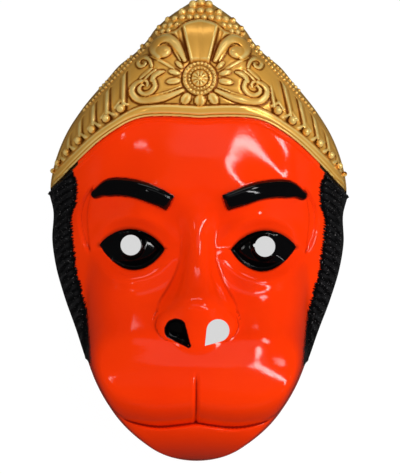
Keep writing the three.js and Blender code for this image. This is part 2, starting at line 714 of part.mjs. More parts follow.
const relief = [
  ...brows(), ...collars(), ...band(), ...wings(), ...rosetteSolids(), ...fan(), ...scrolls(), ...domeBeads(),
  ...hair(),
];
const cavity = bodyUnder(innerNet, -2 * wall);
const shell = wasm.Manifold.union([bodyUnder(outerNet, 0), ...relief])
  .subtract(wasm.Manifold.union([cavity, ...holes()]));

// The moulded body as one mesh.
function meshOf(name, solid, material) {
  const { vertProperties, triVerts } = solid.getMesh();
  const geometry = new THREE.BufferGeometry();
  geometry.setAttribute('position', new THREE.Float32BufferAttribute(vertProperties, 3));
  geometry.setIndex(new THREE.Uint32BufferAttribute(triVerts, 1));
  geometry.computeVertexNormals();
  const mesh = new THREE.Mesh(geometry, material);
  mesh.name = name;
  return mesh;
}

const glossyOrange = new THREE.MeshStandardMaterial({ color: 0xf04a14, roughness: 0.18, metalness: 0 });
const mask = new THREE.Group();
mask.add(meshOf('mask_shell', shell, glossyOrange));

export default mask;
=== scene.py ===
import math
import bmesh
import bpy
import numpy as np
from mathutils import Matrix, Quaternion, Vector


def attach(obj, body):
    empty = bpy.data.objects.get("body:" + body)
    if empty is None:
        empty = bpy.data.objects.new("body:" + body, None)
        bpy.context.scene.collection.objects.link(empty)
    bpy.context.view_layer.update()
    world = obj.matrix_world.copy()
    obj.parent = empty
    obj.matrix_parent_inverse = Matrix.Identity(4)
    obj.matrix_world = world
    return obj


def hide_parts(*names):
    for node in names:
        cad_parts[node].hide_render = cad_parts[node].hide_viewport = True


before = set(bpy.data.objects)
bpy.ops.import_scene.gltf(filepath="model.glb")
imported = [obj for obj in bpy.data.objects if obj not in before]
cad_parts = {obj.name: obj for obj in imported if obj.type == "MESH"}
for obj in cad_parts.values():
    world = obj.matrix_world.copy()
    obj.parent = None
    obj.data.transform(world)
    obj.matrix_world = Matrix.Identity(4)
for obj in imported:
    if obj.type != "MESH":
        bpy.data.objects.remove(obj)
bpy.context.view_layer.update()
scene = bpy.context.scene
mm = 0.001


# Helpers for heights and masks over whole arrays of points, in millimetres.


# A smooth curve through pairs of place and value, level beyond both ends.
def curveThrough(pairs):
    at = np.array([p[0] for p in pairs], float)
    value = np.array([p[1] for p in pairs], float)
    step = np.diff(at)
    rise = np.diff(value) / step
    slope = np.concatenate([[rise[0]], (rise[:-1] * step[1:] + rise[1:] * step[:-1]) / (step[:-1] + step[1:]),
                            [rise[-1]]])

    def read(x):
        x = np.clip(x, at[0], at[-1])
        i = np.clip(np.searchsorted(at, x, side="right") - 1, 0, len(step) - 1)
        h = step[i]
        t = (x - at[i]) / h
        s = t * t
        c = s * t
        return ((2 * c - 3 * s + 1) * value[i] + (c - 2 * s + t) * h * slope[i]
                + (3 * s - 2 * c) * value[i + 1] + (c - s) * h * slope[i + 1])
    return read


# A step from 0 to 1 with soft ends.
def smoothStep(low, high, x):
    t = np.clip((x - low) / (high - low), 0, 1)
    return t * t * (3 - 2 * t)


# The higher of two surfaces, their join rounded over k.
def blendUp(a, b, k):
    h = np.clip(0.5 + 0.5 * (a - b) / k, 0, 1)
    return b + (a - b) * h + k * h * (1 - h)


def hill(x, y, cx, cy, sx, sy):
    return np.exp(-0.5 * (((x - cx) / sx) ** 2 + ((y - cy) / sy) ** 2))


def bell(distance, width):
    return np.exp(-0.5 * (distance / width) ** 2)


# A round profile: 1 in the middle, 0 at a share of 1 and beyond, squarer as n grows.
def arch(share, n):
    return np.sqrt(np.maximum(1 - np.minimum(np.abs(share), 1) ** n, 0))


# A smooth line through points in the plan, in short steps.
def softLine(points, steps=6):
    p = np.array(points, float)
    q = np.vstack([2 * p[0] - p[1], p, 2 * p[-1] - p[-2]])
    out = []
    for i in range(1, len(q) - 2):
        a, b, c, d = q[i - 1:i + 3]
        for t in np.linspace(0, 1, steps, endpoint=False):
            out.append(0.5 * (2 * b + (c - a) * t + (2 * a - 5 * b + 4 * c - d) * t ** 2
                              + (3 * b - a - 3 * c + d) * t ** 3))
    out.append(p[-1])
    return np.array(out)


# Distance to a line in the plan, the share of the way along it, and the side of it (left is positive).
def lineDistance(x, y, line):
    best = np.full(x.shape, 1e9)
    share = np.zeros(x.shape)
    side = np.ones(x.shape)
    lengths = np.hypot(*np.diff(line, axis=0).T)
    total = lengths.sum()
    run = 0.0
    for (ax, ay), (bx, by), length in zip(line[:-1], line[1:], lengths):
        dx, dy = bx - ax, by - ay
        t = np.clip(((x - ax) * dx + (y - ay) * dy) / (length * length), 0, 1)
        d = np.hypot(x - ax - t * dx, y - ay - t * dy)
        near = d < best
        share = np.where(near, (run + t * length) / total, share)
        side = np.where(near, np.sign(dx * (y - ay) - dy * (x - ax)), side)
        best = np.minimum(best, d)
        run += length
    return best, share, side


# The form of the mask, on the same tables as the solid's. The creases are finer here.
halfLength = 126.8
halfBreadth = 81.5
outlineTable = [
    (-126.8, 0), (-124.4, 15.4), (-116.5, 29), (-104.2, 42.4), (-84.4, 55), (-71.2, 60.3), (-54.7, 65.9),
    (-36, 72.7), (-20, 77.3), (-6, 79.4), (10, 79), (22, 81.5), (31, 80.5), (38.5, 78.6), (53, 72.8),
    (65.5, 65), (82.5, 51), (90.5, 44.2), (97, 36), (104.5, 29), (110.3, 25), (114.6, 20.6), (122.8, 9.6),
    (126.8, 0)]
outlineSquared = curveThrough([(y, w * w) for y, w in outlineTable])
headHeight = curveThrough([
    (-127, 44), (-90, 44), (-50, 50), (-20, 55), (0, 58), (25, 62), (50, 64), (75, 62), (100, 56), (127, 46)])
frontHeight = curveThrough([
    (-127, 65), (-118, 73), (-106, 82), (-98, 86.5), (-90, 89), (-82, 89.5), (-75, 88.5), (-66, 85.5),
    (-58, 82.5), (-50, 78.5), (-38, 73.5), (-20, 69), (-8, 67), (4, 66.5), (14, 69), (25, 71), (39, 69.8),
    (53, 66), (65, 62), (90, 56), (127, 47)])
frontWidth = curveThrough([
    (-127, 62), (-85, 62), (-75, 61), (-60, 61), (-45, 62.5), (-20, 66), (0, 68), (25, 70), (45, 71),
    (60, 69), (90, 60), (127, 36)])
frontFall = curveThrough([
    (-127, 8), (-90, 8), (-75, 10), (-60, 12), (-25, 13), (0, 11), (20, 7), (60, 6), (127, 5)])
headSquare = curveThrough([(-127, 2.8), (5, 2.8), (30, 3.3), (50, 4.4), (127, 4.6)])
frontSquare = curveThrough([
    (-127, 30), (-70, 30), (-50, 14), (-20, 8), (8, 4.5), (30, 3), (60, 2.8), (127, 3.5)])
rimSquare = curveThrough([(-127, 30), (-80, 40), (-70, 30), (-60, 14), (-35, 8), (127, 8)])
chinHeight = curveThrough([(-127, 60), (-120, 67), (-112, 72), (-104, 75), (-94, 78), (-84, 81)])
ridgeHeight = curveThrough([
    (-80, 60), (-66, 84.5), (-58, 88), (-52, 91), (-47, 93.6), (-42, 95), (-38, 93.5), (-30, 86), (-20, 78.5),
    (-10, 74), (0, 71), (8, 69.8), (16, 69.2), (24, 66)])
ridgeWidth = curveThrough([
    (-70, 14), (-64, 18.5), (-57, 21), (-50, 21), (-42, 18.5), (-34, 15.5), (-22, 12.5), (-5, 12.5), (8, 18),
    (24, 30)])
mouthLine = curveThrough([
    (0, -104.9), (9.4, -106.4), (20.9, -107.3), (32.5, -105.3), (40.2, -102.3), (49, -95.4), (60, -80)])
bandEdge = curveThrough([
    (0, 61.3), (11, 61.9), (22, 62), (30.5, 61.3), (38.5, 58.6), (44, 55.5), (54.7, 47.9), (66, 37.4),
    (77, 26.4), (81.4, 22.4), (84, 20)])
plateEdge = curveThrough([
    (0, 115.2), (9.6, 112), (13, 109), (19, 107), (25, 104), (28.5, 100), (41, 86.5), (55, 71), (66, 58),
    (75, 42), (82, 26)])
fallAt = 60  # where across the face the front has fallen by frontFall
nose = {"low": -82, "high": 24, "slope": 17, "round": 2.3,
        "wingX": 13.5, "wingY": -51.5, "reachX": 8.2, "reachY": 8.6, "rise": 7.5}
nostril = {"x": 11.4, "y": -54.2, "tipX": 4.4, "tipY": -62.6, "radius": 6.2, "taper": 0.8, "recess": 6.5}
eye = {"inner": 18.2, "outer": 53.4, "innerY": -10.6, "outerY": -8.5, "above": 9.4, "below": 12.2,
       "upperBow": 0.85, "lowerBow": 0.9, "slant": 0.85, "far": 75, "top": 30, "bottom": -45,
       "x": 36, "y": -10.5, "lidX": 21.5, "lidY": 17.2, "lidReach": 18, "lidWidth": 3.2,
       "upperLid": 2.6, "lowerLid": 2.4, "ball": 50, "bulge": 4.5, "ballX": 19, "ballY": 13,
       "pupilX": 36.6, "pupilY": -8.4, "hole": 5.6, "collar": 7.2, "rise": 1.4}
lips = {"roll": 17, "drop": 13, "grooveWidth": 1.5, "grooveDepth": 3.0, "crease": 1.3}
# Swells of the face and hollows round the eyes: place, reach across and up, and rise or depth.
swells = [(38, 18, 17, 8, 2.4), (36, -57, 10, 9, 2.6), (19, -27, 7, 12, -2)]
sockets = [(34, -9, 17, 11, 5), (17, -5, 7, 11, 2.5)]


def halfWidth(y):
    return np.sqrt(np.maximum(outlineSquared(y), 0))


def endFall(y):
    return arch(y / halfLength, 14)


def rimFall(x, y):
    return arch(x / np.maximum(halfWidth(y), 1e-6), rimSquare(y))


# How far a point is inside the nostril, a round drawn out to a tip; negative outside.
def nostrilInside(x, y):
    tipAcross = nostril["tipX"] - nostril["x"]
    tipUp = nostril["tipY"] - nostril["y"]
    gap = math.hypot(tipAcross, tipUp)
    ux, uy = tipAcross / gap, tipUp / gap
    dx, dy = x - nostril["x"], y - nostril["y"]
    t = np.clip(dx * ux + dy * uy, 0, gap)
    return nostril["radius"] * (1 - nostril["taper"] * t / gap) - np.hypot(dx - t * ux, dy - t * uy)


# How far a point is inside the eye's opening, between two bows; negative outside.
def eyeInside(x, y):
    side = np.abs(x)
    share = (side - eye["inner"]) / (eye["outer"] - eye["inner"])
    line = eye["innerY"] + (eye["outerY"] - eye["innerY"]) * share
    bow = np.clip(4 * share * (1 - share), 0, 1)
    upper = line + eye["above"] * bow ** eye["upperBow"] - y
    lower = y - line + eye["below"] * bow ** eye["lowerBow"]
    inside = eye["slant"] * np.minimum(upper, lower)
    inside = np.where(share < 0, -np.hypot(side - eye["inner"], y - eye["innerY"]), inside)
    return np.where(share > 1, -np.hypot(side - eye["outer"], y - eye["outerY"]), inside)


# The head's dome with the flatter front of the face standing out of it.
def headForm(x, y, rim, end):
    head = headHeight(y) * arch(x / np.maximum(halfWidth(y), 1e-6), headSquare(y)) * end
    front = frontHeight(y) - frontFall(y) * (x / fallAt) ** 2
    front = front * arch(x / frontWidth(y), frontSquare(y)) * end * rim
    z = blendUp(head, front, 6 * np.maximum(rim, 0.01)) * np.minimum(rim * 4, 1)
    for cx, cy, wide, tall, rise in swells:
        z = z + rise * hill(np.abs(x), y, cx, cy, wide, tall)
    return z


# The nose's ridge and the round wings at its end.
def withNose(side, y, z):
    ridge = ridgeHeight(y) - nose["slope"] * (side / ridgeWidth(y)) ** nose["round"]
    inside = 1 - ((side - nose["wingX"]) / nose["reachX"]) ** 2 - ((y - nose["wingY"]) / nose["reachY"]) ** 2
    swell = nose["rise"] * np.sign(inside) * np.sqrt(np.abs(inside))
    lobe = np.where(inside > -0.6, frontHeight(nose["wingY"]) + swell, 0)
    nosed = blendUp(blendUp(z, ridge, 4), lobe, 6)
    return np.where((y < nose["low"]) | (y > nose["high"]), z, nosed)


# The sockets, the rolled lids, and the ball with a collar round the pupil.
def withEyes(side, y, z):
    across, up = side - eye["x"], y - eye["y"]
    turn = np.hypot(across / eye["lidX"], up / eye["lidY"]) - 1
    above = smoothStep(-14, -2, y) * (1 - smoothStep(50, 62, side))
    below = 1 - smoothStep(-17, -8, y)
    level = z
    for cx, cy, wide, tall, depth in sockets:
        level = level - depth * hill(side, y, cx, cy, wide, tall)
    lids = eye["upperLid"] * above + eye["lowerLid"] * below
    level = level + bell(turn * eye["lidReach"], eye["lidWidth"]) * lids
    ball = eye["ball"] + eye["bulge"] * (1 - (across / eye["ballX"]) ** 2 - (up / eye["ballY"]) ** 2)
    pupil = np.hypot(side - eye["pupilX"], y - eye["pupilY"])
    ball = ball + eye["rise"] * (1 - smoothStep(eye["collar"] - 0.6, eye["collar"] + 0.4, pupil))
    opening = smoothStep(-0.8, 1.4, eyeInside(side, y))
    eyed = level * (1 - opening) + np.minimum(level, ball) * opening
    return np.where((side > eye["far"]) | (y > eye["top"]) | (y < eye["bottom"]), z, eyed)


# The split lip rolls in to the mouth's line, and the chin lies lower under it.
def withMouth(x, y, z, rim, end):
    lift = y - mouthLine(np.abs(x))
    groove = (1 - smoothStep(-84, -75, y)) * smoothStep(-109, -103, y) * (1 - 0.5 * smoothStep(-104, -80, y))
    split = groove * lips["grooveDepth"] * bell(x * 2, lips["grooveWidth"])
    under = 1 - np.clip(lift / lips["roll"], 0, 1)
    crease = lips["crease"] * bell(lift, 0.6) * (1 - smoothStep(46, 56, np.abs(x)))
    flare = np.hypot(x / 3.4, np.maximum(lift, 0) / 5)
    crease = crease + 0.8 * groove * bell(flare, 1)
    lip = z - split - lips["drop"] * under ** 3
    chin = chinHeight(y) * arch(x / frontWidth(y), 3) * end * rim
    overLip = smoothStep(-1.4, 1.4, lift)
    return lip * overLip + chin * (1 - overLip) - crease


# The crown's front plate stands over the beaded dome behind it.
plate = {"step": 4.4, "full": 22, "gone": 34, "low": 60, "high": 74}


def plateRise(x, y):
    below = 1 - smoothStep(-0.3, 1, y - plateEdge(np.abs(x)))
    inner = 1 - smoothStep(plate["full"], plate["gone"], np.abs(x))
    return plate["step"] * below * inner * smoothStep(plate["low"], plate["high"], y)


# Height of the whole form over the plane of the cut rim, without the relief.
def formHeight(x, y):
    side = np.abs(x)
    rim = rimFall(x, y)
    end = endFall(y)
    z = headForm(x, y, rim, end)
    z = withEyes(side, y, withNose(side, y, z))
    z = withMouth(x, y, z, rim, end)
    z = z + plateRise(x, y) - nostril["recess"] * smoothStep(0, 2.2, nostrilInside(-x, y))
    return np.maximum(z, 0)


# The inside of the wall keeps the wall's thickness to every point of the outer form.
def insideHeight(x, y, wall):
    lowest = formHeight(x, y) - wall
    for share in (0.5, 0.85, 1):
        reach = share * wall
        for turn in np.arange(12) * math.pi / 6:
            cover = formHeight(x + reach * math.cos(turn), y + reach * math.sin(turn))
            lowest = np.minimum(lowest, cover - math.sqrt(wall * wall - reach * reach))
    return np.maximum(lowest, 0)


# A square net is laid over the outline. The larger this number, the smaller its cells near the rim.
crowding = 0.22


def planPoint(u, v):
    dx = u * np.sqrt(1 - v * v / 2)
    dy = v * np.sqrt(1 - u * u / 2)
    crowd = 1 + crowding - crowding * np.minimum(np.hypot(dx, dy), 1) ** 4
    y = np.clip(dy * crowd, -1, 1)
    row = np.sqrt(np.maximum(1 - y * y, 0))
    share = np.where(row > 1e-6, np.clip(dx * crowd / np.maximum(row, 1e-6), -1, 1), 0)
    return share * halfWidth(y * halfLength), y * halfLength


# Relief that stands on the form. Each function gives a rise, and those of the crown a dip beside it.
brow = {
    "left": softLine([(-15.6, 14.8), (-23.7, 18.6), (-34, 22.1), (-44, 23.3), (-50.5, 22.2), (-56, 19.4)]),
    "right": softLine([(14.9, 15.2), (23.1, 18.2), (32.4, 21.6), (43, 23.2), (51, 22.5), (56.6, 19.8)]),
    "width": 9.4, "height": 3.4}


# The inside of a brow: its half width less the distance to its middle line, square at the inner end.
def browInside(x, y):
    best = np.full(x.shape, -1e3)
    for line in (brow["left"], brow["right"]):
        distance, share, _ = lineDistance(x, y, line)
        outerEnd = 1.04 - 0.5 * smoothStep(0.78, 1, share)
        innerEnd = 0.9 + 0.1 * smoothStep(0, 0.3, share)
        half = brow["width"] / 2 * outerEnd * innerEnd
        first, second = line[0], line[1]
        heading = (second - first) / np.hypot(*(second - first))
        past = (x - first[0]) * heading[0] + (y - first[1]) * heading[1]
        best = np.maximum(best, np.minimum(half - distance, past + 0.4))
    return best


def browRelief(x, y):
    share = np.clip(browInside(x, y) / (brow["width"] / 2), 0, 1)
    return brow["height"] * arch(1 - share, 2.4)


band = {"width": 6.4, "narrow": 1.4, "height": 3.4, "lip": 0.5, "lipIn": 0.7, "lipWidth": 0.4,
        "seam": 1.3, "seamAt": 1.25, "seamWidth": 0.38, "line": 1.1, "lineAt": -2.1, "lineWidth": 0.45}
bandRow = np.array([(x, float(bandEdge(abs(x)))) for x in np.linspace(-84, 84, 85)])


# How far a point is above the band's lower edge, below it negative.
def bandLift(x, y):
    distance, _, side = lineDistance(x, y, bandRow)
    return distance * side


# A rounded bar with a lip above, a seam near its lower edge and a thin line under it.
def bandRelief(x, lift):
    half = (band["width"] - band["narrow"] * smoothStep(30, 48, np.abs(x))) / 2
    bar = band["height"] * arch((lift - half) / half, 3)
    bar = bar + band["lip"] * bell(lift - 2 * half + band["lipIn"], band["lipWidth"])
    bar = bar - band["seam"] * bell(lift - band["seamAt"], band["seamWidth"])
    return bar + band["line"] * bell(lift - band["lineAt"], band["lineWidth"])


# A round bar along a line; its width is read from four shares along the way.
def tube(x, y, line, width, shares, height):
    distance, share, _ = lineDistance(x, y, line)
    half = np.maximum(width * np.interp(share, (0, 0.3, 0.7, 1), shares) / 2, 1e-3)
    return height * arch(distance / half, 2), 0.5 * bell(distance - half - 0.3, 0.55)


# A rounded leaf or ball, with a slot along its middle.
def ellipse(x, y, cx, cy, long, wide, degrees, height, slot=0.0):
    turn = math.radians(degrees)
    a = (x - cx) * math.cos(turn) + (y - cy) * math.sin(turn)
    b = (y - cy) * math.cos(turn) - (x - cx) * math.sin(turn)
    r = np.hypot(a / long, b / wide)
    body = height * arch(r, 2.5)
    body = body - slot * bell(b, wide * 0.4) * (r < 1) * smoothStep(1, 0.6, r)
    return np.maximum(body, 0), 0.4 * bell((r - 1.12) * wide, 0.5)


# Petals: place, half length, half width and turn in degrees; the upper ones are on both sides.
rosette = {"y": 82.8, "ring": 8.15, "ringCount": 24, "ringBead": 1.0, "inner": 5.7, "innerCount": 20,
           "innerBead": 0.72, "dome": 4.6, "domeRise": 2.4, "flutes": 10, "fluteRise": 1.3,
           "knob": 1.3, "knobRise": 0.9, "disc": 9.2, "discRise": 1.5, "seam": 6.95,
           "petalRise": 1.9, "petalSlot": 0.4, "lowPetalRise": 2.0, "lowPetalSlot": 0.7}
petals = [(14.2, 81.2, 4.1, 1.75, -8), (13.8, 86, 3.4, 1.45, 14), (11.2, 90.2, 2.7, 1.25, 46)]
lowPetals = [(-7.4, 71.6, 3.5, 2.5, 62), (0.3, 70.6, 3.3, 2.9, 90), (7.6, 71.8, 3.5, 2.5, -60)]


def rosetteRelief(x, y):
    side = np.abs(x)
    r = np.hypot(x, y - rosette["y"])
    turn = np.arctan2(y - rosette["y"], x)
    flute = 0.5 + 0.5 * np.cos(rosette["flutes"] * turn)
    dome = rosette["domeRise"] * arch(r / rosette["dome"], 2.2)
    dome = dome + rosette["fluteRise"] * flute * smoothStep(0.8, 1.8, r) * (1 - smoothStep(3.9, 4.6, r))
    knob = rosette["knobRise"] * arch(r / rosette["knob"], 2)
    disc = rosette["discRise"] * (1 - smoothStep(rosette["disc"] - 0.5, rosette["disc"] + 0.3, r))
    disc = disc - 0.6 * bell(r - rosette["seam"], 0.4)
    rise = disc + dome + knob
    dip = 0.7 * bell(r - rosette["disc"] - 0.6, 0.6)
    for across, row, height, slot in ((side, petals, rosette["petalRise"], rosette["petalSlot"]),
                                      (x, lowPetals, rosette["lowPetalRise"], rosette["lowPetalSlot"])):
        for petal in row:
            body, groove = ellipse(across, y, *petal, height, slot)
            rise, dip = np.maximum(rise, body), np.maximum(dip, groove)
    return rise, dip


fan = {"low": 92, "high": 115.2, "corner": 111.9, "lowHalf": 5.2, "highHalf": 9.7,
       "panel": 2.4, "bulge": 1.0, "tilt": 1.2, "fold": 0.6, "rim": 0.7, "trench": 1.3}


def fanRelief(x, y):
    t = np.clip((y - fan["low"]) / (fan["corner"] - fan["low"]), 0, 1.2)
    half = fan["lowHalf"] + (fan["highHalf"] - fan["lowHalf"]) * t
    share = x / half
    past = np.abs(x) - half
    top = fan["high"] - (fan["high"] - fan["corner"]) * share ** 2
    inside = smoothStep(-0.3, 0.5, -past) * smoothStep(fan["low"] - 1.5, fan["low"] + 2, y)
    inside = inside * (1 - smoothStep(top - 0.4, top + 0.4, y))
    panel = fan["panel"] + fan["bulge"] * arch(np.abs(share) * 2 - 1, 2) + fan["tilt"] * t
    seams = fan["fold"] * bell(x, 0.35) + fan["rim"] * bell(half - np.abs(x) - 0.7, 0.4)
    outside = smoothStep(0, 1.2, past) * (1 - smoothStep(2.6, 4.5, past))
    outside = outside * smoothStep(94, 98, y) * (1 - smoothStep(110, 113, y))
    return inside * (panel + seams), fan["trench"] * outside


# Scrolls: middle line, width, height, and the shares of the width at the start, middle and end.
# The ball in each volute: place, half length, half width, turn in degrees and height.
scrolls = {
    "volute": ([(8.4, 92.8), (11, 97.8), (14.2, 102.3), (18.2, 104.8), (22.4, 104), (25, 100.8), (25, 97.6),
                (22.6, 95.2)], 5.4, 3.2, (0.45, 1.0, 0.8)),
    "voluteLip": ([(10.6, 92.4), (13.6, 97.6), (16.6, 101), (20.2, 101.2)], 1.6, 1.5, (0.6, 1.0, 0.6)),
    "scroll": ([(9.2, 76.2), (14.2, 74.1), (19.1, 72.3), (24.1, 71.1), (29, 70.5), (33.4, 71.2), (36.2, 73.7),
                (36.7, 76.7), (34.8, 79.5), (31.8, 81.2)], 4.2, 2.4, (0.5, 1.0, 0.5)),
    "scrollLine": ([(10.5, 78), (17, 75.4), (24, 73.4), (29.5, 72.9)], 1.0, 0.9, (0.6, 1.0, 0.6)),
    "hook": ([(26.3, 89.4), (27.4, 92.4), (29.9, 94.3), (32.6, 93.4), (33.8, 91.3), (32.6, 89.3),
              (30.4, 89.8), (29.7, 91.2)], 2.3, 1.9, (0.6, 1.0, 0.7)),
    "stem": ([(26.4, 87.9), (29.3, 85.4), (32.4, 82.6)], 2.0, 1.3, (0.6, 1.0, 0.6)),
    "leaf": ([(26, 81.4), (24.9, 83.9), (22.4, 85.6), (19.7, 86.4)], 2.9, 1.8, (0.8, 1.0, 0.4)),
    "leafLine": ([(31, 80.9), (27.6, 84.6), (24, 87.2)], 1.5, 1.2, (0.6, 1.0, 0.5)),
    "comma": ([(24.9, 81.1), (24.3, 78.1), (26.3, 75.3), (29.6, 73.9), (32.3, 74.9), (33.1, 77),
               (31.7, 78.9)], 2.9, 2.2, (0.8, 1.0, 0.5)),
    "curl": ([(28.4, 78.4), (28.6, 80.6), (30.4, 81.3), (31.6, 80), (30.6, 78.7)], 1.3, 1.2, (0.8, 1.0, 0.8)),
    "fold": ([(26.5, 94.6), (20.6, 91.8), (13.6, 87.6)], 1.8, 0.8, (0.7, 1.0, 0.3))}
voluteBall = (20.2, 97.5, 4.8, 3.6, -12, 3.8)


def scrollRelief(x, y):
    side = np.abs(x)
    rise, dip = ellipse(side, y, *voluteBall)
    for points, width, height, (start, middle, end) in scrolls.values():
        bar, groove = tube(side, y, softLine(points, 5), width, (start, middle, middle, end), height)
        rise = np.maximum(rise, bar)
        dip = np.maximum(dip, groove * np.minimum(height / 2, 1))
    return rise, dip


# The wings: pearls in forks along the band, ribs over them, and the rounded edge above.
# On the right the ribs lean outwards.
crown = {
    "pearls": [(42.4, 65.7), (50.1, 60.2), (57.5, 54.2), (64.9, 48.1), (71.2, 41.8), (76.2, 36),
               (79, 31.6)],
    "pearlSizes": [2.45, 2.4, 2.35, 2.3, 2.1, 1.9, 1.5], "moat": 1.6,
    "fork": [(3.4, 0.9), (0.8, 4.6), (-2.7, 2.4)], "forkFor": 2.4, "forkRise": 1.5,
    "ribs": [41.5, 50.6, 58.2, 65.6, 72, 77], "rib": 2.2, "ribHalf": 0.8, "lean": 0.3, "edge": 0.9,
    "ribGrooves": [(1.3, -1.9, 0.75), (0.5, 1.6, 0.5)],
    "border": [(30, 97.5), (35.2, 92.7), (39, 88.3), (46.2, 81.2), (54.5, 72.8), (62.2, 64.6), (69, 56),
               (75, 46), (79, 37)]}
borderLine = softLine(crown["border"], 4)


def forkRelief(side, y):
    arms = np.zeros(side.shape)
    moat = np.zeros(side.shape)
    for (px, py), size in zip(crown["pearls"], crown["pearlSizes"]):
        fork = size / crown["forkFor"] * np.array(crown["fork"]) + (px, py)
        distance, _, _ = lineDistance(side, y, fork)
        arms = np.maximum(arms, crown["forkRise"] * bell(distance, 0.6))
        r = np.hypot(side - px, y - py)
        moat = np.maximum(moat, crown["moat"] * bell(r - size + 0.2, 1))
    return arms, moat


def wingRelief(x, y, lift):
    side = np.abs(x)
    ribs = np.array(crown["ribs"])
    across = side + crown["lean"] * np.maximum(lift - 8, 0) * (x > 0)
    nearest = np.argmin(np.abs(across[..., None] - ribs), axis=-1)
    gap = across - ribs[nearest]
    rib = crown["rib"] * bell(gap, crown["ribHalf"])
    for depth, beside, width in crown["ribGrooves"]:
        rib = rib - depth * bell(gap - beside, width)
    distance, _, above = lineDistance(side, y, borderLine)
    inner = np.where(above < 0, distance, -distance)
    inside = smoothStep(0.2, 1.4, inner) * smoothStep(38.4, 39.8, side) * smoothStep(5.5, 8.5, lift)
    edge = crown["edge"] * bell(inner, 0.9) * smoothStep(27, 30, side)
    arms, moat = forkRelief(side, y)
    rise = np.maximum(np.maximum(rib * inside, 0), arms) + edge
    return rise, np.maximum(-np.minimum(rib * inside, 0), moat * (arms < 0.4))


hairEdge = curveThrough([
    (-73, 58), (-62.4, 58.9), (-53.6, 59.7), (-44.8, 60.8), (-36, 63), (-27.2, 65.2), (-18.4, 67.1),
    (-9.6, 68.2), (-0.8, 69), (7.4, 69.3), (12.4, 67.6), (21.2, 66.5), (28.3, 67.4), (33, 70.5),
    (38, 74)])
hair = {"low": -73, "high": 40, "top": 36, "pitch": 5.4, "slant": 0.3, "base": 0.8, "height": 1.5,
        "inner": 1.1}


# How far a point is inside the hair, from the border painted on the side of the face.
def hairInside(x, y):
    inside = np.abs(x) - hairEdge(y)
    return np.minimum(inside, np.minimum(y - hair["low"], hair["high"] - y))


# Slanted locks on the side walls, fading near the rim, and smaller ones towards the face.
def hairRelief(x, y, z):
    inside = smoothStep(0.2, 3, hairInside(x, y)) * smoothStep(1, 8, hair["top"] - y)
    outer = 1 - smoothStep(19, 24, z)
    phase = (y - hair["slant"] * z) / hair["pitch"]
    lock = phase % 1
    body = smoothStep(0, 0.3, lock) * (1 - lock) ** 0.7 * 1.3
    small = np.abs((phase * 1.5 + 0.3) % 1 - 0.5) * 2
    locks = hair["base"] + smoothStep(4, 15, z) * (hair["height"] * body - 0.7)
    return inside * (outer * locks + (1 - outer) * hair["inner"] * arch(small, 2.4))


# A long leaf-shaped hollow on each temple.
temple = {"line": softLine([(57.2, 25), (61, 17), (63.2, 7), (61.6, -5), (58.6, -14)], 4),
          "half": 2.1, "depth": 1.4}


def templeRelief(x, y):
    distance, share, _ = lineDistance(np.abs(x), y, temple["line"])
    half = temple["half"] * np.sin(math.pi * np.clip(share, 0, 1)) ** 0.8
    return -temple["depth"] * smoothStep(-0.7, 0.5, half - distance) * smoothStep(0, 0.1, share * (1 - share))


# All the crown's carving, above the band.
def crownParts(x, y, lift):
    onCrown = smoothStep(band["width"] - 1.6, band["width"] - 0.6, lift)
    rise = np.zeros(x.shape)
    dip = np.zeros(x.shape)
    for bar, groove in (rosetteRelief(x, y), fanRelief(x, y), scrollRelief(x, y), wingRelief(x, y, lift)):
        rise = np.maximum(rise, bar)
        dip = np.maximum(dip, groove)
    return rise * onCrown, dip * onCrown * (rise < 0.6)


def relief(x, y, z):
    lift = bandLift(x, y)
    rise, dip = crownParts(x, y, lift)
    return rise - dip + bandRelief(x, lift) + browRelief(x, y) + hairRelief(x, y, z) + templeRelief(x, y)


# The shell: an outer net over the outline, a coarser inner one, joined along the cut rim.
# Spacing pairs a height on the mask with the distance between rows there.
shell = {"columns": 224, "rows": 400, "ratio": 4, "wall": 1.6,
         "spacing": [(-126.8, 0.95), (-113, 0.85), (-108, 0.6), (-100, 0.6), (-96, 1.1), (-70, 1.0),
                     (-64, 0.75), (-42, 0.75), (-36, 0.85), (-26, 0.7), (28, 0.66), (33, 0.8), (56, 0.8),
                     (60, 0.5), (116, 0.5), (126.8, 0.6)]}


def rowPlaces(count):
    y = np.linspace(-halfLength, halfLength, 2001)
    at, gap = zip(*shell["spacing"])
    density = np.cumsum(1 / np.interp(y, at, gap))
    share = (density - density[0]) / (density[-1] - density[0])
    wanted = np.interp(np.linspace(0, 1, count + 1), share, y) / halfLength
    v = np.linspace(-1, 1, 2001)
    return np.interp(wanted, v * (1 + crowding - crowding * v ** 4), v)


# The crown's carving stands up towards the front, and the rest along the surface's own direction.
def leaned(x, y, normal):
    front = 1 - smoothStep(-3.6, -1.6, bandLift(x, y))
    turned = normal * np.stack([front, front, np.ones(front.shape)], -1)
    turned[..., 2] = np.maximum(turned[..., 2], 0.02)
    return turned / np.linalg.norm(turned, axis=-1, keepdims=True)


